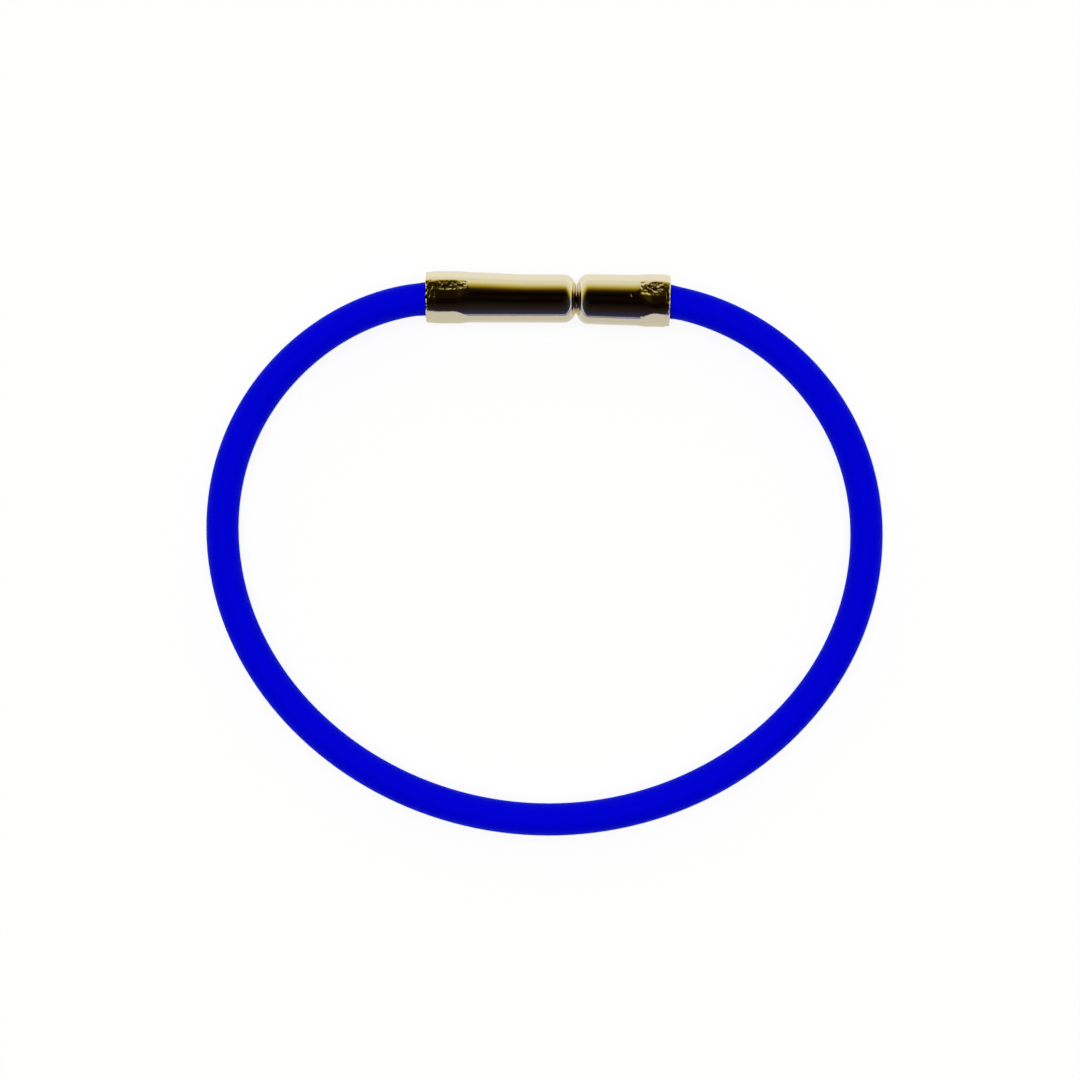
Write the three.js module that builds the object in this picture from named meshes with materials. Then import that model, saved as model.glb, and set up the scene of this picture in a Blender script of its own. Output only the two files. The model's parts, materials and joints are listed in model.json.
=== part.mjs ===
// Cordless anti-static wrist strap: a soft elastomer tube with a conductive core, closed into a loop by a
// two-part snap clasp of nickel-plated brass.
//
// Units are millimetres and +Z is up. The loop lies on the bench at z = 0, with the origin under the middle
// of its outline. +X runs along the clasp from its socket half to its plug half, and +Y points from the
// middle of the loop to the clasp.

import * as THREE from 'three';

// ---------------------------------------------------------------- driving dimensions

// The loop, measured over its outside
const loopWidth = 69.0;
const loopDepth = 57.5;
const claspOffset = 0.35; // the clasp sits this far from the middle of the loop, towards +X
const crestX = 0.44; // the point of the loop furthest from the clasp
const socketSideY = 2.64; // the widest point of the loop on the socket side
const plugSideY = 1.97; // the widest point of the loop on the plug side

// How the strap leaves the two ends of the clasp, turned down towards the inside of the loop
const socketDip = THREE.MathUtils.degToRad(0.7);
const plugDip = THREE.MathUtils.degToRad(8);

// Fullness of the four arcs of the loop: each Bezier handle as a share of its arc's width or height
const socketShoulder = { mouth: 0.455, side: 0.6 };
const socketBelly = { side: 0.553, crest: 0.535 };
const plugBelly = { side: 0.563, crest: 0.537 };
const plugShoulder = { mouth: 0.575, side: 0.507 };

// Strap tube and the conductive yarn in its bore
const strapDiameter = 3.3;
const strapBore = 1.6;
const coreDiameter = 0.9;
const bendGap = 0.3; // between two stretches of the strap, where it flexes

// Clasp sleeves
const socketSleeveLength = 15.2;
const plugSleeveLength = 9.45;
const noseGap = 0.15; // between the two closed halves
const noseWall = 0.9; // thickness of the wall that closes each nose
const noseRounding = 1.0; // length of the rounded shoulder behind each nose
const noseSweep = THREE.MathUtils.degToRad(70); // of the shoulder, which meets the barrel at a faint edge
const sleeveWall = 0.7;
const lipThickness = 0.1; // between the socket's mouth and the edge of its flat nose
const tailChamfer = 0.3; // on the outer edge of each sleeve's tail
const mouthFlare = 0.25; // radial, at the tail, where the strap needs room to bend
const rimLength = 0.8; // of the flared mouth at each tail

// Crimps that hold the strap in the sleeves. Each is pressed by four jaws, between two distances from the
// sleeve's tail. The sleeve also swells to each side, fully up to one distance from its tail and not at all
// beyond another, and there its outside bulges towards +Y.
const socketCrimp = { from: 1.2, to: 4.7, swell: 0.11, swellFull: 4.0, swellEnd: 11.0, bulge: 0.13 };
const plugCrimp = { from: 0.8, to: 3.6, swell: 0.13, swellFull: 3.0, swellEnd: 17.0, bulge: -0.05 };
const jaws = [25, 115, 205, 295].map(THREE.MathUtils.degToRad); // from upright, turning towards +Y
const jawDepth = 0.32; // how deep each jaw's flat lies in the round sleeve
const jawEdge = 0.4; // length over which a flat runs out at its inner end
const jawSpread = 0.08; // how far the sleeve gives on either side of the jaws
const rimBite = 0.6; // share of the flats' depth that is left at the rim of the tail

// The plug half lies a little out of line with the socket half, its tail towards the inside of the loop
const plugTilt = THREE.MathUtils.degToRad(1.15);

// Snap mechanism
const ballDiameter = 2.0;
const neckDiameter = 1.2;
const flangeDiameter = 2.9;
const flangeThickness = 0.5;
const snapWire = 0.4;
const snapBite = 0.18; // how far the relaxed snap ring reaches inside the ball's radius
const snapRingOpening = THREE.MathUtils.degToRad(50);
const ringSeatWall = 0.19; // behind the groove
const discThickness = 0.4;
const retainerThickness = 0.5;
const eyeletFlange = 0.3;
const eyeletLength = 2.0;

// Clearances
const fitClearance = 0.06; // radial, between a seated piece and its bore
const strapClearance = 0.1; // radial, between the strap and the bore of its sleeve
const mouthClearance = 0.15; // radial, between the ball and the mouth that it slides through
const swivelClearance = 0.1; // radial, between the pin's neck and the plug's nose
const ringClearance = 0.05; // between the snap ring and the ball or its groove
const faceClearance = 0.03; // between stacked flat faces
const flangePlay = 0.08; // on either side of the pin's flange, so that the plug half can tilt
const ballEndClearance = 0.2; // between the ball and the disc behind it

// Facets
const sleeveSides = 32;
const strapSides = 20;
const pinSides = 24;
const wireSides = 8;
const strapStep = 3.2;
const crimpStep = 1.1;
const swellStep = 1.2;
const roundingSteps = 5;
const ballSteps = 8;

// ---------------------------------------------------------------- sizes that follow

const strapRadius = strapDiameter / 2;
const coreRadius = coreDiameter / 2;
const ballRadius = ballDiameter / 2;
const neckRadius = neckDiameter / 2;
const wireRadius = snapWire / 2;

const snapRingRadius = ballRadius - snapBite + wireRadius;
const grooveRadius = ballRadius + snapWire + ringClearance;
const ringSeatRadius = grooveRadius + ringSeatWall;
const claspBore = Math.max(strapRadius + strapClearance, ringSeatRadius + fitClearance);
const sleeveRadius = claspBore + sleeveWall;
const seatedRadius = claspBore - fitClearance;
const mouthRadius = ballRadius + mouthClearance;
const noseRadius = mouthRadius + lipThickness;

// Places along the clasp, as distances from the nose of the half that holds the piece
const seatStart = noseWall + faceClearance;
const grooveWidth = snapWire + 2 * ringClearance;
const snapRingAt = seatStart + 3 * snapWire - wireRadius;
const ballReach = ballRadius + wireRadius + ringClearance;
const ballAt = snapRingAt + Math.sqrt(ballReach ** 2 - snapRingRadius ** 2);
const seatEnd = ballAt + ballRadius + ballEndClearance;
const stopDiscAt = seatEnd + faceClearance;
const socketEyeletAt = stopDiscAt + discThickness + faceClearance;
const flangeAt = noseWall + flangePlay;
const retainerAt = flangeAt + flangeThickness + flangePlay;
const plugEyeletAt = retainerAt + retainerThickness + faceClearance;

// Places in the loop
const claspLength = socketSleeveLength + noseGap + plugSleeveLength;
const socketTailX = claspOffset - claspLength / 2;
const socketNoseX = socketTailX + socketSleeveLength;
const plugNoseX = socketNoseX + noseGap;
const claspY = loopDepth / 2 - sleeveRadius - socketCrimp.bulge - jawSpread - socketCrimp.swell;
const claspZ = sleeveRadius;
const sideX = loopWidth / 2 - strapRadius;
const crestY = strapRadius - loopDepth / 2;

// Moves a piece that is turned about +Y, with its nose at the origin, to its place in the loop. Inward is the
// direction along X from the tail to the nose.
function placement(noseX, inward, tilt) {
  const turn = new THREE.Matrix4().makeRotationZ((inward * Math.PI) / 2 - tilt);
  return turn.setPosition(noseX, claspY, claspZ);
}

const socket = {
  length: socketSleeveLength,
  inward: 1,
  place: placement(socketNoseX, 1, 0),
  crimp: socketCrimp,
};
const plug = {
  length: plugSleeveLength,
  inward: -1,
  place: placement(plugNoseX, -1, plugTilt),
  crimp: plugCrimp,
};

const up = new THREE.Vector3(0, 0, 1);
const claspAxis = new THREE.Vector3(1, 0, 0);

// ---------------------------------------------------------------- materials

function finish(color, roughness, metalness) {
  return () => new THREE.MeshStandardMaterial({ color, roughness, metalness });
}

const nickelPlate = finish(0xcfc8b8, 0.12, 1.0);
const brass = finish(0xc9a55a, 0.3, 1.0);
const springSteel = finish(0xa8abb0, 0.25, 1.0);
const blueElastomer = finish(0x0000cd, 0.45, 0.0);
const carbonYarn = finish(0x2a2a2e, 0.8, 0.1);

// ---------------------------------------------------------------- geometry helpers

// Values from one end to the other, evenly spaced and no further apart than the step.
function evenly(from, to, step) {
  const count = Math.max(1, Math.ceil((to - from) / step));
  return Array.from({ length: count + 1 }, (_, i) => from + ((to - from) * i) / count);
}

// Turns an outline of [radius, distance] points about the distance axis. The flats of the facets, two of
// which face straight up and down, lie at the stated radius. Distance runs along +Y.
function turned(outline, sides) {
  const cornerRadius = 1 / Math.cos(Math.PI / sides);
  const points = outline.map(([radius, distance]) => new THREE.Vector2(radius * cornerRadius, distance));
  return new THREE.LatheGeometry(points, sides, Math.PI / sides);
}

// A closed outline of a tube, or of a solid rod where the bore is zero, with a ring at each distance.
function tubeOutline(radius, bore, distances) {
  const wall = distances.map((distance) => [radius, distance]);
  const inside = bore > 0
    ? distances.map((distance) => [bore, distance])
    : [[0, distances[0]], [0, distances.at(-1)]];
  return bore > 0
    ? [...wall, ...inside.reverse(), wall[0]]
    : [inside[0], ...wall, inside[1]];
}

// Bends a straight turned piece so that its axis follows a path, with its flats square to upright.
function bent(geometry, path, upright) {
  const position = geometry.attributes.position;
  const length = path.getLength();
  for (let i = 0; i < position.count; i += 1) {
    const along = THREE.MathUtils.clamp(position.getY(i) / length, 0, 1);
    const tangent = path.getTangentAt(along);
    const side = new THREE.Vector3().crossVectors(tangent, upright).normalize();
    const over = new THREE.Vector3().crossVectors(side, tangent);
    const point = path.getPointAt(along)
      .addScaledVector(side, position.getX(i))
      .addScaledVector(over, position.getZ(i));
    position.setXYZ(i, point.x, point.y, point.z);
  }
  return geometry;
}

// How firmly a half holds what lies at a distance inside its tail, which eases just outside the tail.
function grip(depth) {
  return THREE.MathUtils.smoothstep(depth, -rimLength, 0);
}

// How deep the jaws' flats are at a distance inside the tail, as a share of their full depth.
function bite(crimp, depth) {
  const { lerp, smoothstep } = THREE.MathUtils;
  const beyondRim = smoothstep(depth, crimp.from - jawEdge / 2, crimp.from + jawEdge / 2);
  const runOut = 1 - smoothstep(depth, crimp.to - jawEdge, crimp.to);
  return lerp(rimBite, 1, beyondRim) * runOut * grip(depth);
}

// Shapes a sleeve, and whatever it holds, as its crimp does. Everything on one ray from the axis shrinks by
// the same share under a jaw, so pieces that are clear of each other stay clear.
function crimped(geometry, half) {
  const { crimp } = half;
  geometry.applyMatrix4(half.place.clone().invert());
  const position = geometry.attributes.position;
  for (let i = 0; i < position.count; i += 1) {
    const depth = half.length - position.getY(i);
    const offset = new THREE.Vector2(position.getX(i) * half.inward, position.getZ(i));
    const radius = offset.length();
    const angle = Math.atan2(offset.x, offset.y);
    const facing = Math.max(...jaws.map((jaw) => Math.cos(angle - jaw)));
    const bitten = bite(crimp, depth);
    offset.multiplyScalar(Math.min(1, (1 - (jawDepth * bitten) / sleeveRadius) / facing));
    const swollen = grip(depth) * (1 - THREE.MathUtils.smoothstep(depth, crimp.swellFull, crimp.swellEnd));
    const giving = Math.max(0, bitten - rimBite) / (1 - rimBite);
    const wallShare = THREE.MathUtils.clamp((radius - claspBore) / sleeveWall, 0, 1);
    offset.x *= 1 + (jawSpread * giving + crimp.swell * swollen) / sleeveRadius;
    offset.x += crimp.bulge * swollen * wallShare;
    position.setX(i, offset.x * half.inward);
    position.setZ(i, offset.y);
  }
  return geometry.applyMatrix4(half.place);
}

// Puts a turned piece into its half of the clasp, so that its distances are counted from the nose.
function seated(geometry, half) {
  return crimped(geometry.applyMatrix4(half.place), half);
}

// Where a piece inside a sleeve needs rings, as distances from the nose: at its start, and then closely
// enough to follow the swelling and the crimp.
function ringsInSleeve(start, half) {
  const { from, to, swellEnd } = half.crimp;
  const { length } = half;
  const rings = [
    ...evenly(length - swellEnd, length - to, swellStep),
    ...evenly(length - to + jawEdge, length - from - jawEdge / 2, crimpStep),
    length - rimLength,
  ];
  return [start, ...rings.filter((distance) => distance > start)];
}

// ---------------------------------------------------------------- clasp sleeves

// From the flat nose over the rounded shoulder to the tail, and back up the bore to the hole in the nose.
function sleeve(half, noseHole) {
  const rise = sleeveRadius - noseRadius;
  const shoulder = evenly(0, noseSweep, noseSweep / roundingSteps).map((angle) => [
    noseRadius + (rise * Math.sin(angle)) / Math.sin(noseSweep),
    (noseRounding * (1 - Math.cos(angle))) / (1 - Math.cos(noseSweep)),
  ]);
  const rings = ringsInSleeve(noseWall, half);
  const clear = rings.filter((distance) => distance > noseRounding + swellStep / 2);
  const outside = clear.map((distance) => [sleeveRadius, distance]);
  const inside = rings.map((distance) => [claspBore, distance]).reverse();
  const outline = [
    ...shoulder,
    ...outside,
    [sleeveRadius, half.length - tailChamfer],
    [sleeveRadius - tailChamfer, half.length],
    [claspBore + mouthFlare, half.length],
    ...inside,
    [noseHole, noseWall],
    [noseHole, 0],
    shoulder[0],
  ];
  return seated(turned(outline, sleeveSides), half);
}

// ---------------------------------------------------------------- snap mechanism

// Bush in the socket with an internal groove, which holds the snap ring and guides the ball.
function ringSeat() {
  const grooveStart = snapRingAt - grooveWidth / 2;
  const grooveEnd = snapRingAt + grooveWidth / 2;
  const outline = [
    [seatedRadius, seatStart],
    [seatedRadius, seatEnd],
    [mouthRadius, seatEnd],
    [mouthRadius, grooveEnd],
    [grooveRadius, grooveEnd],
    [grooveRadius, grooveStart],
    [mouthRadius, grooveStart],
    [mouthRadius, seatStart],
    [seatedRadius, seatStart],
  ];
  return seated(turned(outline, sleeveSides), socket);
}

// An arc about the clasp axis, with its opening towards the top.
class RingArc extends THREE.Curve {
  getPoint(t, target = new THREE.Vector3()) {
    const angle = snapRingOpening / 2 + t * (2 * Math.PI - snapRingOpening);
    return target.set(
      socketNoseX - snapRingAt,
      claspY + snapRingRadius * Math.sin(angle),
      claspZ + snapRingRadius * Math.cos(angle),
    );
  }
}

function snapRing() {
  const arc = new RingArc();
  const rings = evenly(0, arc.getLength(), snapWire);
  return bent(turned(tubeOutline(wireRadius, 0, rings), wireSides), arc, claspAxis);
}

function disc(half, start, thickness) {
  return seated(turned(tubeOutline(seatedRadius, 0, [start, start + thickness]), sleeveSides), half);
}

// Pin with a flange that is trapped in the plug's nose and a ball that snaps into the socket. It lies in line
// with the socket.
function plugPin() {
  const ballCentre = -(noseGap + ballAt);
  const neckAngle = Math.asin(neckRadius / ballRadius);
  const ball = evenly(0, Math.PI - neckAngle, (Math.PI - neckAngle) / ballSteps).map((angle) => [
    ballRadius * Math.sin(angle),
    ballCentre - ballRadius * Math.cos(angle),
  ]);
  const outline = [
    ...ball,
    [neckRadius, flangeAt],
    [flangeDiameter / 2, flangeAt],
    [flangeDiameter / 2, flangeAt + flangeThickness],
    [0, flangeAt + flangeThickness],
  ];
  return turned(outline, pinSides).applyMatrix4(placement(plugNoseX, plug.inward, 0));
}

// Flanged eyelet, pressed into the end of the strap round its core to carry the contact to the sleeve.
function eyelet(half, start) {
  const shankRadius = strapBore / 2 - fitClearance;
  const bore = coreRadius + fitClearance;
  const outline = [
    [strapRadius, start],
    [strapRadius, start + eyeletFlange],
    [shankRadius, start + eyeletFlange],
    [shankRadius, start + eyeletLength],
    [bore, start + eyeletLength],
    [bore, start],
    [strapRadius, start],
  ];
  return seated(turned(outline, strapSides), half);
}

// ---------------------------------------------------------------- strap and core

const socketSide = new THREE.Vector3(-sideX, socketSideY, strapRadius);
const crest = new THREE.Vector3(crestX, crestY, strapRadius);
const plugSide = new THREE.Vector3(sideX, plugSideY, strapRadius);

function moved(point, x, y) {
  return new THREE.Vector3(point.x + x, point.y + y, point.z);
}

// A point on a half's axis, at a distance from its nose.
function onAxis(half, distance) {
  return new THREE.Vector3(0, distance, 0).applyMatrix4(half.place);
}

// From the flared mouth of a sleeve round to the side of the loop, sinking from the clasp's height to the
// bench.
function shoulderArc(half, side, dip, fullness) {
  const mouth = onAxis(half, half.length - rimLength);
  const reach = fullness.mouth * Math.abs(side.x - mouth.x);
  return new THREE.CubicBezierCurve3(
    mouth,
    moved(mouth, -half.inward * reach * Math.cos(dip), -reach * Math.sin(dip)),
    moved(side, 0, fullness.side * (mouth.y - side.y)),
    side,
  );
}

// From the side of the loop round to its crest, flat on the bench.
function bellyArc(side, outward, fullness) {
  return new THREE.CubicBezierCurve3(
    side,
    moved(side, 0, -fullness.side * (side.y - crest.y)),
    moved(crest, outward * fullness.crest * Math.abs(side.x - crest.x), 0),
    crest,
  );
}

// The strap's way out of a sleeve, from a distance behind its nose to the side of the loop.
function endPath(half, start, shoulder) {
  const path = new THREE.CurvePath();
  path.add(new THREE.LineCurve3(onAxis(half, start), shoulder.v0));
  path.add(shoulder);
  return path;
}

// A stretch that is gripped by a sleeve at one end and flexes at the other.
function endStretch(radius, bore, sides, start, half, shoulder) {
  const path = endPath(half, start, shoulder);
  const gripped = ringsInSleeve(start, half).map((distance) => distance - start);
  const free = evenly(half.length - start, path.getLength() - bendGap / 2, strapStep);
  const tube = turned(tubeOutline(radius, bore, [...gripped, ...free]), sides);
  return crimped(bent(tube, path, up), half);
}

// A stretch round the belly of the loop, which flexes at both ends.
function bellyStretch(radius, bore, sides, path) {
  const rings = evenly(bendGap / 2, path.getLength() - bendGap / 2, strapStep);
  return bent(turned(tubeOutline(radius, bore, rings), sides), path, up);
}

const socketShoulderArc = shoulderArc(socket, socketSide, socketDip, socketShoulder);
const plugShoulderArc = shoulderArc(plug, plugSide, plugDip, plugShoulder);
const socketBellyArc = bellyArc(socketSide, -1, socketBelly);
const plugBellyArc = bellyArc(plugSide, 1, plugBelly);

// The four stretches of the strap, or of its core, each starting at the given distances from the noses.
function stretches(radius, bore, sides, socketStart, plugStart) {
  return {
    socket_end: endStretch(radius, bore, sides, socketStart, socket, socketShoulderArc),
    socket_belly: bellyStretch(radius, bore, sides, socketBellyArc),
    plug_belly: bellyStretch(radius, bore, sides, plugBellyArc),
    plug_end: endStretch(radius, bore, sides, plugStart, plug, plugShoulderArc),
  };
}

// ---------------------------------------------------------------- assembly

const wristStrap = new THREE.Group();

function add(name, geometry, material) {
  const mesh = new THREE.Mesh(geometry, material());
  mesh.name = name;
  wristStrap.add(mesh);
}

add('socket_sleeve', sleeve(socket, mouthRadius), nickelPlate);
add('ring_seat', ringSeat(), brass);
add('snap_ring', snapRing(), springSteel);
add('stop_disc', disc(socket, stopDiscAt, discThickness), brass);
add('socket_core_eyelet', eyelet(socket, socketEyeletAt), brass);

add('plug_sleeve', sleeve(plug, neckRadius + swivelClearance), nickelPlate);
add('plug_pin', plugPin(), nickelPlate);
add('pin_retainer', disc(plug, retainerAt, retainerThickness), brass);
add('plug_core_eyelet', eyelet(plug, plugEyeletAt), brass);

const behindFlange = eyeletFlange + faceClearance;
const strap = stretches(
  strapRadius,
  strapBore / 2,
  strapSides,
  socketEyeletAt + behindFlange,
  plugEyeletAt + behindFlange,
);
for (const [place, geometry] of Object.entries(strap)) {
  add(`strap_tube_${place}`, geometry, blueElastomer);
}

const core = stretches(coreRadius, 0, wireSides, socketEyeletAt, plugEyeletAt);
for (const [place, geometry] of Object.entries(core)) {
  add(`conductive_core_${place}`, geometry, carbonYarn);
}

export default wristStrap;
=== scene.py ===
import json
import math
from dataclasses import dataclass

import bmesh
import bpy
from mathutils import Matrix, Vector, noise


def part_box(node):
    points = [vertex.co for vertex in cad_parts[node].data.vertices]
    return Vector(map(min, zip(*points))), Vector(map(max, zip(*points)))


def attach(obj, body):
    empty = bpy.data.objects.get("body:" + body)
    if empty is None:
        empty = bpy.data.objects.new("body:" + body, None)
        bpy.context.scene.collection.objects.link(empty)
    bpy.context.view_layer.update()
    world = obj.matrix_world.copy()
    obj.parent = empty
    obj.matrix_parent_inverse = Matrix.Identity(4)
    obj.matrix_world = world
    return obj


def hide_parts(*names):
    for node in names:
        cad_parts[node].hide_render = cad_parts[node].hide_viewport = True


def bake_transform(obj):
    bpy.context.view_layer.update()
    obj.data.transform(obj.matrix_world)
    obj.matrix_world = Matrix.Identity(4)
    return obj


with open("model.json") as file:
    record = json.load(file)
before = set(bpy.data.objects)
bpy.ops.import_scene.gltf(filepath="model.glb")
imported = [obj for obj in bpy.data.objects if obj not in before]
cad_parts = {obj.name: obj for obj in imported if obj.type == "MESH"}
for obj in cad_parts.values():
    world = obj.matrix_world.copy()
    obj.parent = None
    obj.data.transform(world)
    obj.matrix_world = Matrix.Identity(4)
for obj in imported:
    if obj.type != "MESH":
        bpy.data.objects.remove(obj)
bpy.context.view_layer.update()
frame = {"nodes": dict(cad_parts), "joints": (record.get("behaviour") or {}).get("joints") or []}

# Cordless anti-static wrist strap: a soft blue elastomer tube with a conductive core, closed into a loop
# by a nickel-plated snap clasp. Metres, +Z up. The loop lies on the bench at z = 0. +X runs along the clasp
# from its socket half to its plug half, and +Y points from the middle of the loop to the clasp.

MM = 0.001
DEGREE = math.pi / 180
X_AXIS = Vector((1, 0, 0))
Y_AXIS = Vector((0, 1, 0))
UP = Vector((0, 0, 1))

# ---------------------------------------------------------------- driving dimensions

SLEEVE_RADIUS = 2.45 * MM
SLEEVE_BORE = 1.77 * MM
NOSE_WALL = 0.9 * MM
NOSE_RADIUS = 1.45 * MM
NOSE_REACH = 0.057 * MM  # beyond the plain solid's nose, which leaves a hairline between the halves
NOSE_EDGE = 0.2 * MM  # from the nose to the edge where its steep part meets the shoulder
SHOULDER_LENGTH = 1.0 * MM
SHOULDER_STEEP = 55 * DEGREE
SHOULDER_SHALLOW = 12 * DEGREE
TAIL_ROUNDING = 0.2 * MM
MOUTH_FLARE = 0.25 * MM
FLARE_CURVE = 1.5  # the power by which the mouth widens
RIM_LENGTH = 0.8 * MM

# Crimps, each pressed by four jaws. Angles round a sleeve are from upright, turning towards +Y.
JAWS = [angle * DEGREE for angle in (11, 120, 191, 295)]
JAW_DEPTH = 0.16 * MM
JAW_RUN_OUT = 1.6 * MM  # over which a crimp eases off, at the end that is further in
JAW_RIDGE = 0.1 * MM  # how far the wall is pushed out sideways between the jaws
JAW_SOFTNESS = 0.025  # how rounded the edges of a flat are, as a share of the radius
JAW_WOBBLE = 0.5  # how unevenly a jaw bites, as a share of its depth
WOBBLE_LENGTH = 1.2 * MM

# Torn patches that the jaws leave: their angles, and how strongly each is marked
TORN_PATCHES = [(26 * DEGREE, 1.0), (-57 * DEGREE, 0.3)]
TORN_DEPTH = 0.14 * MM
TORN_GRAIN = 0.42 * MM
TORN_OCTAVES = 2
TORN_FADE = 0.25 * MM
TORN_MARGIN = 0.5 * MM  # between its end and the end of the crimp
TORN_SKIN = 0.98  # of the sleeve's radius; nothing further in is torn

# Streaks on the rim, between the tail and the crimp
STREAK_DEPTH = 0.03 * MM
STREAK_LENGTH = 0.25 * MM
STREAKS_PER_RADIAN = 6
STREAK_SCUFF = 0.6  # how torn they look

DENT_RADIUS = 0.24 * MM
DENT_DEPTH = 0.055 * MM

BALL_RADIUS = 1.0 * MM
NECK_RADIUS = 0.6 * MM
FLANGE_RADIUS = 1.45 * MM
FLANGE_THICKNESS = 0.5 * MM
MOUTH_RADIUS = 1.15 * MM
SWIVEL_HOLE_RADIUS = 0.7 * MM
GROOVE_RADIUS = 1.45 * MM
GROOVE_WIDTH = 0.5 * MM
SNAP_WIRE = 0.4 * MM
SNAP_RING_RADIUS = 1.02 * MM
SNAP_RING_OPENING = 50 * DEGREE
EDGE_BREAK = 0.05 * MM

STRAP_BORE = 0.8 * MM
SEAM_MARGIN = 1.3 * MM  # of a stretch of the strap that doesn't bend, at each end

# Fineness of the meshes
SLEEVE_SIDES = 192
TURNED_SIDES = 96
STRAP_SIDES = 48
THIN_SIDES = 24
PLAIN_STEP = 0.5 * MM
CRIMP_STEP = 0.07 * MM
BORE_STEP = 0.4 * MM
GRIPPED_STEP = 0.25 * MM
ARC_STEP = 6 * DEGREE
SHOULDER_STEP = 2 * DEGREE
ROUNDING_STEP = 18 * DEGREE
FLARE_STEPS = 4
ROUTE_STEPS = 44
MERGE_DISTANCE = 0.001 * MM
SHARP_EDGE = 20 * DEGREE

# ---------------------------------------------------------------- places taken from the frame

HINGE = {joint["name"]: Vector(joint["pos_m"]) for joint in frame["joints"]}
SOCKET_SIDE = HINGE["socket_side_flex"]
CREST = HINGE["loop_open"]
PLUG_SIDE = HINGE["plug_side_flex"]
PLUG_NOSE = HINGE["pin_swivel"]
SOCKET_NOSE = Vector((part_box("socket_sleeve")[1].x, PLUG_NOSE.y, PLUG_NOSE.z))


def half_height(node):
    """Radius of a round node that lies level."""
    low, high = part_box(node)
    return (high.z - low.z) / 2


STRAP_RADIUS = half_height("strap_tube_socket_belly")
CORE_RADIUS = half_height("conductive_core_socket_belly")


@dataclass
class Half:
    """A half of the clasp. Its own frame has its nose at the origin, and its axis along +Y to the tail."""

    body: str
    nose: Vector
    length: float
    inward: int  # along X, from its tail to its nose
    tilt: float  # of its tail towards the inside of the loop
    crimp_from: float  # distances inside its tail
    crimp_to: float
    taper: float  # how much deeper the crimp is at the tail, as a share
    torn_width: float  # of its torn patches, to each side
    swell: float  # how much wider it is, seen from above, towards its tail
    swell_full: float
    swell_end: float
    bulge: float  # of its outside towards +Y
    dents: list  # the distance inside its tail and the angle of each
    side: Vector  # where the strap lies furthest out on its side of the loop
    strap_dip: float  # of the strap at its tail, towards the inside of the loop
    mouth_pull: float  # how far each handle of the strap's curve reaches, as a share
    side_pull: float
    belly_pull: float
    crest_pull: float

    @property
    def place(self):
        turn = Matrix.Rotation(self.inward * math.pi / 2 - self.tilt, 4, "Z")
        return Matrix.Translation(self.nose) @ turn

    def on_axis(self, distance):
        return self.place @ Vector((0, distance, 0))


SOCKET = Half(
    body="socket_half",
    nose=SOCKET_NOSE,
    length=15.2 * MM,
    inward=1,
    tilt=0,
    crimp_from=1.2 * MM,
    crimp_to=4.7 * MM,
    taper=0.5,
    torn_width=0.5 * MM,
    swell=0.11 * MM,
    swell_full=4.0 * MM,
    swell_end=11.0 * MM,
    bulge=0.13 * MM,
    dents=[],
    side=SOCKET_SIDE,
    strap_dip=0.7 * DEGREE,
    mouth_pull=0.455,
    side_pull=0.6,
    belly_pull=0.553,
    crest_pull=0.535,
)
PLUG = Half(
    body="plug_half",
    nose=PLUG_NOSE,
    length=9.45 * MM,
    inward=-1,
    tilt=1.15 * DEGREE,
    crimp_from=0.8 * MM,
    crimp_to=3.6 * MM,
    taper=0.8,
    torn_width=0.72 * MM,
    swell=0.13 * MM,
    swell_full=3.0 * MM,
    swell_end=17.0 * MM,
    bulge=-0.05 * MM,
    dents=[(3.85 * MM, 7 * DEGREE)],
    side=PLUG_SIDE,
    strap_dip=8 * DEGREE,
    mouth_pull=0.575,
    side_pull=0.507,
    belly_pull=0.563,
    crest_pull=0.537,
)

# ---------------------------------------------------------------- mesh helpers


def evenly(start, end, step):
    """Values from start to end, evenly spaced and no further apart than the step."""
    count = max(1, math.ceil(abs(end - start) / step))
    return [start + (end - start) * i / count for i in range(count + 1)]


def clamp(value):
    return min(1.0, max(0.0, value))


def smoothstep(value, low, high):
    """Eases from 0 to 1 while a value goes from one limit to the other."""
    share = clamp((value - low) / (high - low))
    return share * share * (3 - 2 * share)


def soft_least(first, second, softness):
    """The lesser of two values, rounded off where they are nearly equal."""
    share = max(0, 1 - abs(first - second) / (2 * softness)) if softness else 0
    return min(first, second) - softness * share * share / 2


def make_piece(name, bm, slot):
    """Turns a bmesh into a piece: doubles merged, faces outward, smooth between its sharp edges."""
    bmesh.ops.remove_doubles(bm, verts=bm.verts, dist=MERGE_DISTANCE)
    bmesh.ops.recalc_face_normals(bm, faces=bm.faces)
    for face in bm.faces:
        face.smooth = True
    for edge in bm.edges:
        edge.smooth = edge.calc_face_angle(0) < SHARP_EDGE
    mesh = bpy.data.meshes.new(name)
    bm.to_mesh(mesh)
    bm.free()
    mesh.materials.append(MATERIALS[slot])
    piece = bpy.data.objects.new(name, mesh)
    bpy.context.scene.collection.objects.link(piece)
    return piece


def turned(outline, sides):
    """Spins an outline of (radius, distance) points about +Y."""
    bm = bmesh.new()
    row = [bm.verts.new((0, distance, radius)) for radius, distance in outline]
    edges = [bm.edges.new(pair) for pair in zip(row, row[1:])]
    bmesh.ops.spin(
        bm,
        geom=row + edges,
        cent=(0, 0, 0),
        axis=Y_AXIS,
        dvec=(0, 0, 0),
        angle=2 * math.pi,
        steps=sides,
        use_merge=True,
    )
    return bm


# ---------------------------------------------------------------- crimps


def grip(depth):
    """How firmly a half holds what lies at a distance inside its tail. It eases just outside the tail."""
    return smoothstep(depth, -RIM_LENGTH, 0)


def run_out(half, depth):
    """How fully the jaws reach a distance inside the tail."""
    return grip(depth) * (1 - smoothstep(depth, half.crimp_to - JAW_RUN_OUT, half.crimp_to))


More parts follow.
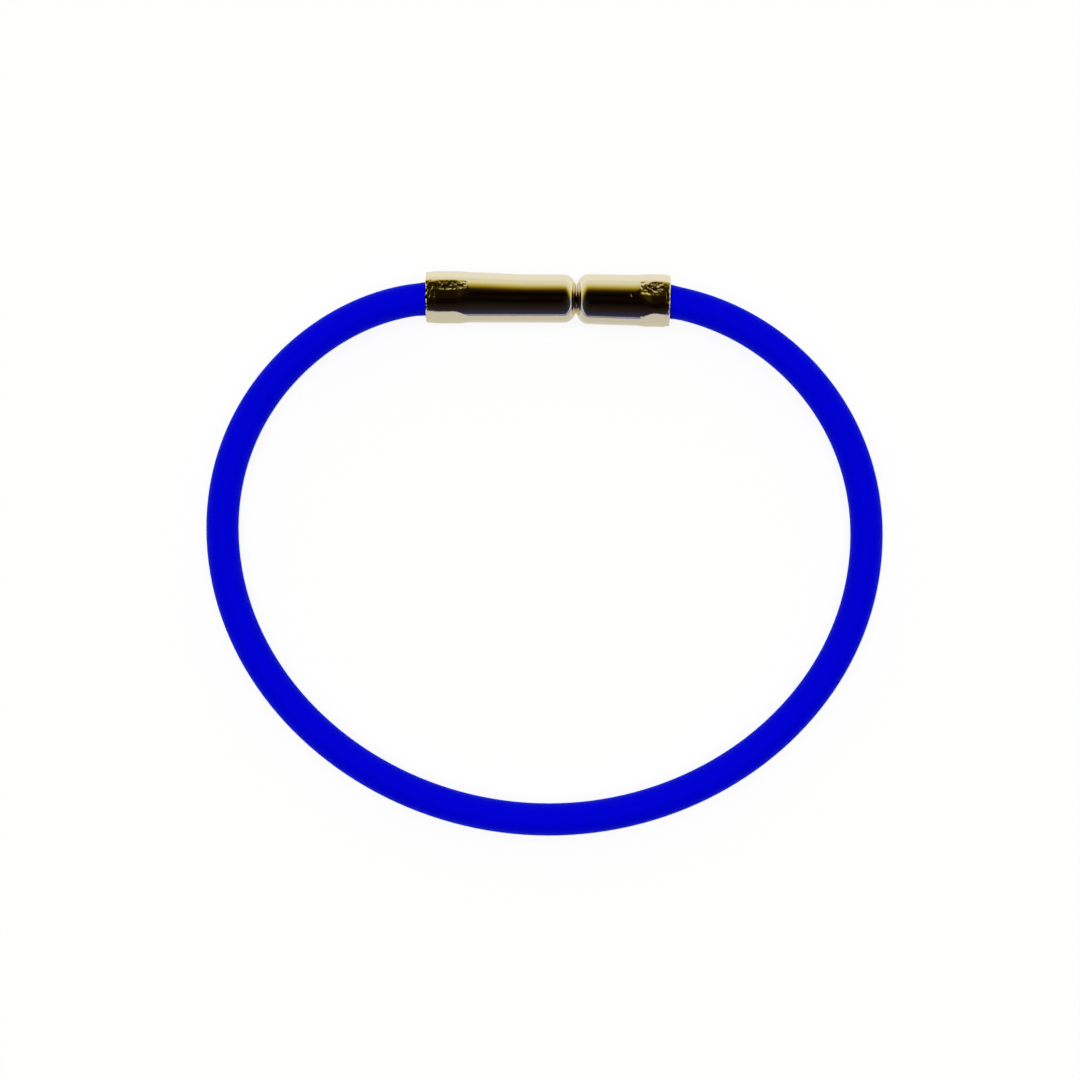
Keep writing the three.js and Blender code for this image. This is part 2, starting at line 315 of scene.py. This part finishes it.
def crimp(bm, half):
    """Shapes a sleeve, or what it holds, as its crimp does."""
    inverse = half.place.inverted()
    for vert in bm.verts:
        local = inverse @ vert.co
        depth = half.length - local.y
        if depth < -RIM_LENGTH:
            continue
        across = local.x * half.inward
        radius = math.hypot(across, local.z)
        angle = math.atan2(across, local.z)
        facing = max(math.cos(angle - jaw) for jaw in JAWS)
        pressed = run_out(half, depth)
        wobble = 1 + JAW_WOBBLE * noise.noise(Vector((0, local.y / WOBBLE_LENGTH, facing)))
        bite = JAW_DEPTH * pressed * wobble * (1 + half.taper * (1 - depth / half.crimp_to))
        ridge = JAW_RIDGE * pressed * smoothstep(depth, 0, half.crimp_from) * math.sin(angle) ** 2
        flat = (1 - bite / SLEEVE_RADIUS) / facing
        squeeze = soft_least(flat, 1 + ridge / SLEEVE_RADIUS, JAW_SOFTNESS * pressed)
        swollen = grip(depth) * (1 - smoothstep(depth, half.swell_full, half.swell_end))
        wall_share = clamp((radius - SLEEVE_BORE) / (SLEEVE_RADIUS - SLEEVE_BORE))
        across *= squeeze * (1 + half.swell * swollen / SLEEVE_RADIUS)
        across += half.bulge * swollen * wall_share
        vert.co = half.place @ Vector((across * half.inward, local.y, local.z * squeeze))


def torn(half, depth, radius, angle):
    """How strongly the jaws have torn a place."""
    ends = min(depth - half.crimp_from + TORN_FADE, half.crimp_to - TORN_MARGIN - depth)
    shares = []
    for patch, strength in TORN_PATCHES:
        side = half.torn_width - abs(radius * math.remainder(angle - patch, 2 * math.pi))
        shares.append(strength * smoothstep(ends, 0, TORN_FADE) * smoothstep(side, 0, TORN_FADE))
    return max(shares)


def dented(half, depth, radius, angle):
    """How far the half's dents sink a place."""
    sink = 0
    for dent_depth, dent_angle in half.dents:
        away = math.hypot(depth - dent_depth, radius * (angle - dent_angle)) / DENT_RADIUS
        sink += DENT_DEPTH * max(0, 1 - away * away) ** 2
    return sink


def tear(bm, half):
    """Tears, streaks and dents the outside of a sleeve, which still lies in its own frame. The torn layer
    keeps how torn each point looks."""
    layer = bm.verts.layers.float.new("torn")
    for vert in bm.verts:
        radius = math.hypot(vert.co.x, vert.co.z)
        if radius < SLEEVE_RADIUS * TORN_SKIN:
            continue
        depth = half.length - vert.co.y
        angle = math.atan2(vert.co.x * half.inward, vert.co.z)
        rim = 1 - smoothstep(depth, half.crimp_from - TORN_FADE, half.crimp_from)
        streak = noise.noise(Vector((STREAKS_PER_RADIAN * angle, vert.co.y / STREAK_LENGTH, 0)))
        share = torn(half, depth, radius, angle)
        relief = noise.turbulence(vert.co / TORN_GRAIN, TORN_OCTAVES, True)
        sink = STREAK_DEPTH * rim * streak
        sink += TORN_DEPTH * share * relief
        sink += dented(half, depth, radius, angle)
        vert[layer] = max(STREAK_SCUFF * rim, share)
        vert.co *= 1 - sink / radius


# ---------------------------------------------------------------- clasp pieces


def shoulder_outline():
    """An arc, from the edge of the nose to the full radius."""
    bend = (SHOULDER_LENGTH - NOSE_EDGE) / (math.sin(SHOULDER_STEEP) - math.sin(SHOULDER_SHALLOW))
    return [
        (
            SLEEVE_RADIUS - bend * (math.cos(SHOULDER_SHALLOW) - math.cos(angle)),
            NOSE_EDGE + bend * (math.sin(SHOULDER_STEEP) - math.sin(angle)),
        )
        for angle in evenly(SHOULDER_STEEP, SHOULDER_SHALLOW, SHOULDER_STEP)
    ]


def tail_outline(half):
    """The rounded rim, and the flared mouth inside it."""
    rounding = [
        (
            SLEEVE_RADIUS - TAIL_ROUNDING * (1 - math.cos(angle)),
            half.length - TAIL_ROUNDING + TAIL_ROUNDING * math.sin(angle),
        )
        for angle in evenly(0, math.pi / 2, ROUNDING_STEP)[1:]
    ]
    flare = [
        (SLEEVE_BORE + MOUTH_FLARE * share**FLARE_CURVE, half.length - RIM_LENGTH * (1 - share))
        for share in evenly(1, 0, 1 / FLARE_STEPS)[:-1]
    ]
    return rounding + flare


def sleeve_outline(half, nose_hole):
    """The wall of a sleeve, cut along its axis, from the nose to the tail and back through the bore."""
    crimp_start = half.length - half.crimp_to - 2 * DENT_RADIUS
    outside = evenly(SHOULDER_LENGTH, crimp_start, PLAIN_STEP)[1:]
    outside += evenly(crimp_start, half.length - TAIL_ROUNDING, CRIMP_STEP)[1:]
    bore = evenly(half.length - RIM_LENGTH, NOSE_WALL, BORE_STEP)
    return [
        (NOSE_RADIUS, -NOSE_REACH),
        *shoulder_outline(),
        *[(SLEEVE_RADIUS, distance) for distance in outside],
        *tail_outline(half),
        *[(SLEEVE_BORE, distance) for distance in bore],
        (nose_hole, NOSE_WALL),
        (nose_hole, -NOSE_REACH),
        (NOSE_RADIUS, -NOSE_REACH),
    ]


def sleeve(name, node, half, nose_hole):
    """A sleeve of the clasp, from its outline."""
    bm = turned(sleeve_outline(half, nose_hole), SLEEVE_SIDES)
    tear(bm, half)
    bm.transform(half.place)
    crimp(bm, half)
    piece = make_piece(name, bm, "nickel_plate")
    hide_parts(node)
    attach(piece, half.body)


def along_clasp(bm):
    """Lays a turned piece along the clasp, with its own +Y along +X."""
    turn = Matrix.Rotation(-math.pi / 2, 4, "Z")
    bm.transform(Matrix.Translation((0, PLUG_NOSE.y, PLUG_NOSE.z)) @ turn)


def plug_pin():
    """Ball, neck and flange, in line with the socket."""
    low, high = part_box("plug_pin")
    ball = low.x + BALL_RADIUS
    flange = high.x - FLANGE_THICKNESS
    neck_angle = math.asin(NECK_RADIUS / BALL_RADIUS)
    outline = [
        (BALL_RADIUS * math.sin(angle), ball - BALL_RADIUS * math.cos(angle))
        for angle in evenly(0, math.pi - neck_angle, ARC_STEP)
    ]
    outline += [
        (NECK_RADIUS, flange),
        (FLANGE_RADIUS - EDGE_BREAK, flange),
        (FLANGE_RADIUS, flange + EDGE_BREAK),
        (FLANGE_RADIUS, high.x - EDGE_BREAK),
        (FLANGE_RADIUS - EDGE_BREAK, high.x),
        (0, high.x),
    ]
    bm = turned(outline, TURNED_SIDES)
    along_clasp(bm)
    piece = make_piece("ball_pin", bm, "nickel_plate")
    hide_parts("plug_pin")
    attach(piece, "pin")


def ring_seat():
    """Bush with an internal groove, which holds the snap ring and guides the ball."""
    low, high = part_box("ring_seat")
    ring_low, ring_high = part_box("snap_ring")
    radius = (high.z - low.z) / 2
    groove = (ring_low.x + ring_high.x) / 2
    outline = [
        (radius - EDGE_BREAK, low.x),
        (radius, low.x + EDGE_BREAK),
        (radius, high.x - EDGE_BREAK),
        (radius - EDGE_BREAK, high.x),
        (MOUTH_RADIUS + EDGE_BREAK, high.x),
        (MOUTH_RADIUS, high.x - EDGE_BREAK),
        (MOUTH_RADIUS, groove + GROOVE_WIDTH / 2),
        (GROOVE_RADIUS, groove + GROOVE_WIDTH / 2),
        (GROOVE_RADIUS, groove - GROOVE_WIDTH / 2),
        (MOUTH_RADIUS, groove - GROOVE_WIDTH / 2),
        (MOUTH_RADIUS, low.x + EDGE_BREAK),
        (MOUTH_RADIUS + EDGE_BREAK, low.x),
        (radius - EDGE_BREAK, low.x),
    ]
    bm = turned(outline, TURNED_SIDES)
    along_clasp(bm)
    piece = make_piece("grooved_bush", bm, "brass")
    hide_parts("ring_seat")
    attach(piece, "socket_half")


def snap_ring():
    """Open ring of spring wire about the clasp's axis, with its opening at the top."""
    low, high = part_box("snap_ring")
    middle = Vector(((low.x + high.x) / 2, SOCKET_NOSE.y, SOCKET_NOSE.z))
    path = []
    for angle in evenly(SNAP_RING_OPENING / 2, 2 * math.pi - SNAP_RING_OPENING / 2, ARC_STEP):
        around = Matrix.Rotation(angle, 3, "X")
        path.append((middle + around @ (SNAP_RING_RADIUS * UP), around @ -Y_AXIS))
    bm = bmesh.new()
    for rim in sweep(bm, path, SNAP_WIRE / 2, THIN_SIDES, X_AXIS):
        bmesh.ops.contextual_create(bm, geom=rim)
    piece = make_piece("spring_wire_ring", bm, "spring_steel")
    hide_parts("snap_ring")
    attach(piece, "socket_half")


# ---------------------------------------------------------------- strap and core


def moved(point, x, y):
    return point + Vector((x, y, 0))


def shoulder_arc(half):
    """Bezier from the flared mouth of a sleeve round to the side of the loop, sinking to the bench."""
    mouth = half.on_axis(half.length - RIM_LENGTH)
    reach = half.mouth_pull * abs(half.side.x - mouth.x)
    dip = half.strap_dip
    return [
        mouth,
        moved(mouth, -half.inward * reach * math.cos(dip), -reach * math.sin(dip)),
        moved(half.side, 0, half.side_pull * (mouth.y - half.side.y)),
        half.side,
    ]


def belly_arc(half):
    """Bezier from the side of the loop round to its crest, flat on the bench."""
    side = half.side
    return [
        side,
        moved(side, 0, -half.belly_pull * (side.y - CREST.y)),
        moved(CREST, -half.inward * half.crest_pull * abs(side.x - CREST.x), 0),
        CREST,
    ]


SOCKET_SHOULDER = shoulder_arc(SOCKET)
SOCKET_BELLY = belly_arc(SOCKET)
PLUG_BELLY = belly_arc(PLUG)
PLUG_SHOULDER = shoulder_arc(PLUG)


def along(arc, share):
    """Point and direction on a Bezier arc."""
    a, b, c, d = arc
    rest = 1 - share
    point = rest**3 * a + 3 * rest**2 * share * b + 3 * rest * share**2 * c + share**3 * d
    slope = rest**2 * (b - a) + 2 * rest * share * (c - b) + share**2 * (d - c)
    return point, slope.normalized()


def route(arc, start, end):
    """Points and directions along part of an arc, facing the way it is walked."""
    sense = 1 if end > start else -1
    walked = [along(arc, share) for share in evenly(start, end, 1 / ROUTE_STEPS)]
    return [(point, sense * direction) for point, direction in walked]


def gripped(half, start):
    """Points and directions along a half's axis, from a distance behind its nose to its flared mouth."""
    direction = (half.place.to_3x3() @ Y_AXIS).normalized()
    distances = evenly(start, half.length - RIM_LENGTH, GRIPPED_STEP)[:-1]
    return [(half.on_axis(distance), direction) for distance in distances]


def standing(point, direction, upright):
    """Matrix that stands a ring on a route, square to its direction."""
    side = direction.cross(upright).normalized()
    over = side.cross(direction)
    matrix = Matrix((side, over, direction)).transposed().to_4x4()
    matrix.translation = point
    return matrix


def sweep(bm, path, radius, sides, upright=UP):
    """Extrudes a ring along a route, and returns the edges of its first and last rings. The skin layer
    keeps where each point would be if the route were straight."""
    skin = bm.verts.layers.float_vector.get("skin") or bm.verts.layers.float_vector.new("skin")
    matrices = [standing(point, direction, upright) for point, direction in path]
    verts = bmesh.ops.create_circle(bm, segments=sides, radius=radius, matrix=matrices[0])["verts"]
    first = ring = list({edge for vert in verts for edge in vert.link_edges})
    distance = 0
    for matrix, following in zip(matrices, matrices[1:] + [None]):
        for vert in verts:
            vert[skin] = matrix.inverted() @ vert.co + Vector((0, 0, distance))
        if following is None:
            break
        made = bmesh.ops.extrude_edge_only(bm, edges=ring)["geom"]
        verts = [item for item in made if isinstance(item, bmesh.types.BMVert)]
        edges = [item for item in made if isinstance(item, bmesh.types.BMEdge)]
        ring = [edge for edge in edges if set(verts).issuperset(edge.verts)]
        bmesh.ops.transform(bm, matrix=following @ matrix.inverted(), verts=verts)
        distance += (following.translation - matrix.translation).length
    return first, ring


def tube(name, path, radius, bore, sides, slot, half=None):
    """A swept tube, or a solid rod where the bore is zero, held by a half of the clasp if one is given."""
    bm = bmesh.new()
    outer = sweep(bm, path, radius, sides)
    if bore:
        inner = sweep(bm, path, bore, sides)
        for rim, hole in zip(outer, inner):
            bmesh.ops.bridge_loops(bm, edges=rim + hole)
    else:
        for rim in outer:
            bmesh.ops.contextual_create(bm, geom=rim)
    if half:
        crimp(bm, half)
    return make_piece(name, bm, slot)


def bend_window(start, hinge, end):
    """Where a stretch starts and stops bending: evenly about its hinge, and just clear of its seams."""
    direction = (end - start).normalized()
    middle = start + direction * (hinge - start).dot(direction)
    reach = min((middle - start).length, (end - middle).length) - SEAM_MARGIN
    return middle - direction * reach, middle + direction * reach


def flexible(prefix, node, radius, bore, sides, slot):
    """The strap or its core as three stretches, each round one hinge."""
    socket_start = SOCKET_NOSE.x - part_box(f"{node}_socket_end")[1].x
    plug_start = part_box(f"{node}_plug_end")[0].x - PLUG_NOSE.x
    socket_path = gripped(SOCKET, socket_start) + route(SOCKET_SHOULDER, 0, 1)
    socket_path += route(SOCKET_BELLY, 0, 0.5)[1:]
    crest_path = route(SOCKET_BELLY, 0.5, 1) + route(PLUG_BELLY, 1, 0.5)[1:]
    plug_path = gripped(PLUG, plug_start) + route(PLUG_SHOULDER, 0, 1)
    plug_path += route(PLUG_BELLY, 0, 0.5)[1:]
    socket_seam = socket_path[-1][0]
    plug_seam = plug_path[-1][0]

    piece = tube(f"{prefix}_socket_side", socket_path, radius, bore, sides, slot, SOCKET)
    window = bend_window(SOCKET.on_axis(SOCKET.length), SOCKET_SIDE, socket_seam)
    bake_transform(piece)
    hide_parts(f"{node}_socket_end")

    piece = tube(f"{prefix}_crest", crest_path, radius, bore, sides, slot)
    bend_window(socket_seam, CREST, plug_seam)
    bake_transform(piece)
    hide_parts(f"{node}_socket_belly", f"{node}_plug_belly")

    piece = tube(f"{prefix}_plug_side", plug_path, radius, bore, sides, slot, PLUG)
    window = bend_window(plug_seam, PLUG_SIDE, PLUG.on_axis(PLUG.length))
    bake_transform(piece)
    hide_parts(f"{node}_plug_end")


# ---------------------------------------------------------------- looks

NOISE_SPAN = (0.3, 0.7)  # where most of a noise's values lie

NICKEL_COLORS = ((0.76, 0.68, 0.49), (0.82, 0.74, 0.54))
NICKEL_ROUGHNESS = (0.05, 0.09)
SCRATCH_SPAN = (0.62, 0.7)  # of a noise, whose highest places are scratched
SCRATCH_ROUGHNESS = 0.06
TORN_ROUGHNESS = 0.25
TORN_RELIEF = 0.02 * MM
NICKEL_TURNING = 0.0006 * MM

BLUE_COLORS = ((0.0, 0.0002, 0.63), (0.0, 0.0004, 0.69))
BLUE_ROUGHNESS = (0.42, 0.56)
BLUE_SPECULAR = 0.015
BLUE_SHEEN = (0.0, 0.08, 1.0, 1)
BLUE_STREAKS = 0.01 * MM
BLUE_GRAIN = 0.003 * MM

YARN_COLORS = ((0.012, 0.012, 0.014), (0.05, 0.05, 0.055))
YARN_ROUGHNESS = (0.6, 0.85)
YARN_PLIES = 7.0
YARN_TWIST = 1.6 / MM  # radians along it
YARN_RELIEF = 0.04 * MM
YARN_FIBRES = 0.01 * MM

BRASS_COLORS = ((0.68, 0.47, 0.16), (0.42, 0.27, 0.09))
BRASS_ROUGHNESS = (0.18, 0.36)
TARNISH_SPAN = (0.35, 0.75)

STEEL_COLORS = ((0.36, 0.36, 0.38), (0.5, 0.5, 0.5))
STEEL_ROUGHNESS = (0.2, 0.34)
TOOL_MARKS = 0.002 * MM

BENCH_COLOR = (0.98, 0.98, 0.98, 1)
BENCH_ROUGHNESS = 0.9
BENCH_REACH = 1.5
BENCH_GLOW = 0.88  # the share of its look that is its own light
GLOW_EDGE = (18 * MM, 34 * MM)  # along Y, over which its reflected light rises: painted shade, dimming its glow in reflections towards the inside of the loop
GLOW_REFLECTED = (0.66, 1.0)

# How bright the room is, by the angle in degrees from the middle of its dark ceiling. On the side of the
# clasp the ceiling ends in warm light, and on the other side in cool light.
CEILING_TILT = 16 * DEGREE
CEILING = (0, -math.sin(CEILING_TILT), math.cos(CEILING_TILT))
WARM_SIDE = [
    (90, (0.9, 0.88, 0.78)),
    (80, (0.78, 0.77, 0.47)),
    (68, (0.53, 0.44, 0.08)),
    (59.5, (0.26, 0.165, 0.008)),
    (52, (0.05, 0.03, 0.001)),
    (45, (0.014, 0.008, 0.0)),
    (31, (0.0023, 0.0004, 0.0)),
]
COOL_SIDE = [
    (74.5, (0.75, 0.78, 0.8)),
    (71.5, (0.3, 0.34, 0.44)),
    (68, (0.035, 0.045, 0.13)),
    (43, (0.024, 0.019, 0.03)),
    (27, (0.0176, 0.0125, 0.0086)),
    (11, (0.0083, 0.0058, 0.0047)),
    (0, (0.003, 0.001, 0.0)),
]
COOL_TO_WARM = (-0.35, 0.25)  # of a direction's Y
WHITE = (1, 1, 1)

LAMP_PLACE = Vector((0, 0.02, 0.8))
LAMP_SIZE = 0.8
LAMP_POWER = 7.15

CAMERA_PLACE = (-0.46 * MM, 1.41 * MM, 307.7 * MM)
CAMERA_LENS = 100  # in plain millimetres, like the sensor's width
CAMERA_SENSOR = 36
CAMERA_CLIP = 0.01

# ---------------------------------------------------------------- materials


class Nodes:
    """A tree of shader nodes, with helpers that add one node each and return what it gives."""

    def __init__(self, tree):
        self.tree = tree

    def add(self, kind):
        return self.tree.nodes.new(f"ShaderNode{kind}")

    def feed(self, socket, value):
        """Sets an input to a number or a colour, or links it to an output."""
        if isinstance(value, bpy.types.NodeSocket):
            self.tree.links.new(value, socket)
        else:
            socket.default_value = value

    def coordinates(self, kind):
        return self.add("TexCoord").outputs[kind]

    def attribute(self, name, output="Fac"):
        node = self.add("Attribute")
        node.attribute_name = name
        return node.outputs[output]

    def rays(self):
        """What kind of ray meets the surface."""
        return self.add("LightPath").outputs

    def parts(self, vector):
        """The X, Y and Z of a vector."""
        node = self.add("SeparateXYZ")
        self.feed(node.inputs[0], vector)
        return node.outputs

    def dot(self, vector, direction):
        """How far a vector goes in a direction."""
        node = self.add("VectorMath")
        node.operation = "DOT_PRODUCT"
        self.feed(node.inputs[0], vector)
        self.feed(node.inputs[1], direction)
        return node.outputs["Value"]

    def ranged(self, value, span, to=(0, 1)):
        """A value that runs between two numbers while another one crosses a span."""
        node = self.add("MapRange")
        limits = {"From Min": span[0], "From Max": span[1], "To Min": to[0], "To Max": to[1]}
        self.feed(node.inputs["Value"], value)
        for name, number in limits.items():
            self.feed(node.inputs[name], number)
        return node.outputs["Result"]

    def math(self, operation, *values):
        node = self.add("Math")
        node.operation = operation
        for socket, value in zip(node.inputs, values):
            self.feed(socket, value)
        return node.outputs[0]

    def mixed(self, share, first, second):
        """One colour turning into another."""
        node = self.add("Mix")
        node.data_type = "RGBA"
        self.feed(node.inputs["Factor"], share)
        for socket, color in ((node.inputs["A"], first), (node.inputs["B"], second)):
            self.feed(socket, color if isinstance(color, bpy.types.NodeSocket) else (*color, 1))
        return node.outputs["Result"]

    def ramp(self, value, stops):
        """Colours over the cosine of an angle, from stops of (degrees, colour)."""
        node = self.add("ValToRGB")
        elements = node.color_ramp.elements
        elements.remove(elements[1])
        for i, (degrees, color) in enumerate(stops):
            position = math.cos(degrees * DEGREE)
            element = elements.new(position) if i else elements[0]
            element.position = position
            element.color = (*color, 1)
        self.feed(node.inputs["Fac"], value)
        return node.outputs["Color"]


class Surface(Nodes):
    """A material, whose textures follow the object's coordinates or those of a layer of its mesh."""

    def __init__(self, name, layer=None):
        self.material = bpy.data.materials.new(name)
        self.material.use_nodes = True
        super().__init__(self.material.node_tree)
        self.shader = self.tree.nodes["Principled BSDF"]
        self.place = self.attribute(layer, "Vector") if layer else self.coordinates("Object")

    def noise(self, scale, detail=2.0, stretch=(1, 1, 1)):
        """Noise with this many lumps to a millimetre, multiplied along each axis."""
        mapping = self.add("Mapping")
        self.feed(mapping.inputs["Scale"], Vector(stretch) / MM)
        self.feed(mapping.inputs["Vector"], self.place)
        node = self.add("TexNoise")
        self.feed(node.inputs["Scale"], scale)
        self.feed(node.inputs["Detail"], detail)
        self.feed(node.inputs["Vector"], mapping.outputs["Vector"])
        return node.outputs["Fac"]

    def bumped(self, height, distance, under=None):
        """Normals of a relief of this depth, laid over those of another."""
        node = self.add("Bump")
        self.feed(node.inputs["Distance"], distance)
        self.feed(node.inputs["Height"], height)
        if under:
            self.feed(node.inputs["Normal"], under)
        return node.outputs["Normal"]

    def finish(self, **values):
        """Sets the shader's inputs, which are named in lower case."""
        for name, value in values.items():
            self.feed(self.shader.inputs[name.replace("_", " ").title()], value)
        return self.material


def nickel_plate():
    """Bright nickel with faint turning lines, a few scratches, and torn patches under the jaws."""
    surface = Surface("bright_nickel_plate")
    mottle = surface.noise(0.35, detail=3)
    turning = surface.noise(1, stretch=(14, 0.5, 0.5))
    scratches = surface.ranged(surface.noise(1.1, detail=6, stretch=(0.6, 3, 3)), SCRATCH_SPAN)
    gritty = surface.math("MULTIPLY", surface.attribute("torn"), surface.noise(7, detail=3))
    polished = surface.ranged(mottle, NOISE_SPAN, NICKEL_ROUGHNESS)
    scuffed = surface.math("MULTIPLY_ADD", scratches, SCRATCH_ROUGHNESS, polished)
    return surface.finish(
        base_color=surface.mixed(mottle, *NICKEL_COLORS),
        metallic=1.0,
        roughness=surface.math("MULTIPLY_ADD", gritty, TORN_ROUGHNESS, scuffed),
        normal=surface.bumped(gritty, TORN_RELIEF, surface.bumped(turning, NICKEL_TURNING)),
    )


def blue_elastomer():
    """Extruded elastomer: a plain saturated blue with faint streaks along the tube and a fine grain."""
    surface = Surface("blue_elastomer", "skin")
    streaks = surface.noise(1, stretch=(3, 3, 0.06))
    grain = surface.noise(9, detail=3)
    clouds = surface.noise(0.16)
    surface.shader.inputs["Specular IOR Level"].default_value = BLUE_SPECULAR
    return surface.finish(
        base_color=surface.mixed(clouds, *BLUE_COLORS),
        roughness=surface.ranged(grain, NOISE_SPAN, BLUE_ROUGHNESS),
        normal=surface.bumped(grain, BLUE_GRAIN, surface.bumped(streaks, BLUE_STREAKS)),
        sheen_weight=1.0,
        sheen_roughness=0.3,
        sheen_tint=BLUE_SHEEN,
    )


def carbon_yarn():
    """Black carbon-loaded filaments with a slight twist."""
    surface = Surface("carbon_yarn", "skin")
    x, y, z = surface.parts(surface.place)
    around = surface.math("ARCTAN2", y, x)
    turn = surface.math("ADD", around, surface.math("MULTIPLY", z, YARN_TWIST))
    plies = surface.math("SINE", surface.math("MULTIPLY", turn, YARN_PLIES))
    fibres = surface.noise(6, detail=4, stretch=(1, 1, 0.3))
    return surface.finish(
        base_color=surface.mixed(fibres, *YARN_COLORS),
        roughness=surface.ranged(fibres, NOISE_SPAN, YARN_ROUGHNESS),
        normal=surface.bumped(fibres, YARN_FIBRES, surface.bumped(plies, YARN_RELIEF)),
    )


def brass():
    """Turned brass, a little tarnished."""
    surface = Surface("turned_brass")
    turning = surface.noise(1, detail=3, stretch=(12, 0.4, 0.4))
    tarnish = surface.noise(0.9, detail=4)
    return surface.finish(
        base_color=surface.mixed(surface.ranged(tarnish, TARNISH_SPAN), *BRASS_COLORS),
        metallic=1.0,
        roughness=surface.ranged(tarnish, NOISE_SPAN, BRASS_ROUGHNESS),
        normal=surface.bumped(turning, TOOL_MARKS),
    )


def spring_steel():
    """Drawn wire, with lines along it."""
    surface = Surface("spring_steel", "skin")
    drawn = surface.noise(1, detail=3, stretch=(12, 12, 0.3))
    stain = surface.noise(1.2)
    return surface.finish(
        base_color=surface.mixed(stain, *STEEL_COLORS),
        metallic=1.0,
        roughness=surface.ranged(drawn, NOISE_SPAN, STEEL_ROUGHNESS),
        normal=surface.bumped(drawn, TOOL_MARKS),
    )


def bench_white():
    """White, and mostly so by its own light where it is looked at or reflected."""
    surface = Surface("white_bench")
    surface.finish(base_color=BENCH_COLOR, roughness=BENCH_ROUGHNESS)
    surface.shader.inputs["Specular IOR Level"].default_value = 0.0
    rays = surface.rays()
    # painted shade: as the metal reflects it, the bench glows less towards the inside of the loop
    reflected = surface.ranged(surface.parts(surface.place)["Y"], GLOW_EDGE, GLOW_REFLECTED)
    glow = surface.add("Emission")
    surface.feed(glow.inputs["Strength"], surface.math("MAXIMUM", reflected, rays["Is Camera Ray"]))
    seen = surface.math("MAXIMUM", rays["Is Camera Ray"], rays["Is Glossy Ray"])
    seen = surface.math("MAXIMUM", seen, rays["Is Transmission Ray"])
    mix = surface.add("MixShader")
    surface.feed(mix.inputs["Fac"], surface.math("MULTIPLY", seen, BENCH_GLOW))
    surface.feed(mix.inputs[1], surface.shader.outputs[0])
    surface.feed(mix.inputs[2], glow.outputs[0])
    surface.feed(surface.tree.nodes["Material Output"].inputs["Surface"], mix.outputs[0])
    return surface.material


MATERIALS = {
    "nickel_plate": nickel_plate(),
    "blue_elastomer": blue_elastomer(),
    "carbon_yarn": carbon_yarn(),
    "brass": brass(),
    "spring_steel": spring_steel(),
}

# ---------------------------------------------------------------- making

sleeve("socket_sleeve_shell", "socket_sleeve", SOCKET, MOUTH_RADIUS)
sleeve("plug_sleeve_shell", "plug_sleeve", PLUG, SWIVEL_HOLE_RADIUS)
plug_pin()
ring_seat()
snap_ring()
flexible("strap", "strap_tube", STRAP_RADIUS, STRAP_BORE, STRAP_SIDES, "blue_elastomer")
flexible("core", "conductive_core", CORE_RADIUS, 0, THIN_SIDES, "carbon_yarn")
for name in ("stop_disc", "socket_core_eyelet", "pin_retainer", "plug_core_eyelet"):
    materials = frame["nodes"][name].data.materials
    materials.clear()
    materials.append(MATERIALS["brass"])

# ---------------------------------------------------------------- stage


def make_floor():
    """The bench top, at z = 0."""
    bm = bmesh.new()
    bmesh.ops.create_grid(bm, x_segments=1, y_segments=1, size=BENCH_REACH)
    mesh = bpy.data.meshes.new("bench_top")
    bm.to_mesh(mesh)
    bm.free()
    floor = bpy.data.objects.new("bench_top", mesh)
    bpy.context.scene.collection.objects.link(floor)
    mesh.materials.append(bench_white())


def make_world():
    """White to the camera, and to all else a room with a dark ceiling."""
    world = bpy.data.worlds.new("white_room")
    bpy.context.scene.world = world
    world.use_nodes = True
    room = Nodes(world.node_tree)
    direction = room.coordinates("Generated")
    height = room.dot(direction, CEILING)
    side = room.ranged(room.parts(direction)["Y"], COOL_TO_WARM)
    light = room.mixed(side, room.ramp(height, COOL_SIDE), room.ramp(height, WARM_SIDE))
    seen = room.mixed(room.rays()["Is Camera Ray"], light, WHITE)
    room.feed(room.tree.nodes["Background"].inputs["Color"], seen)


def make_lamp():
    """A soft square lamp high above the loop, which doesn't show in the nickel."""
    lamp = bpy.data.lights.new("overhead_softbox", "AREA")
    lamp.shape = "SQUARE"
    lamp.size = LAMP_SIZE
    lamp.energy = LAMP_POWER
    item = bpy.data.objects.new("overhead_softbox", lamp)
    item.location = LAMP_PLACE
    item.rotation_euler = (-LAMP_PLACE).to_track_quat("-Z", "Y").to_euler()
    item.visible_glossy = False
    bpy.context.scene.collection.objects.link(item)


def make_camera():
    """Looks straight down at the loop."""
    camera = bpy.data.cameras.new("camera")
    camera.lens = CAMERA_LENS
    camera.sensor_width = CAMERA_SENSOR
    camera.clip_start = CAMERA_CLIP
    item = bpy.data.objects.new("camera", camera)
    item.location = CAMERA_PLACE
    bpy.context.scene.collection.objects.link(item)
    bpy.context.scene.camera = item


make_floor()
make_world()
make_lamp()
make_camera()
bpy.context.scene.view_settings.view_transform = "Standard"
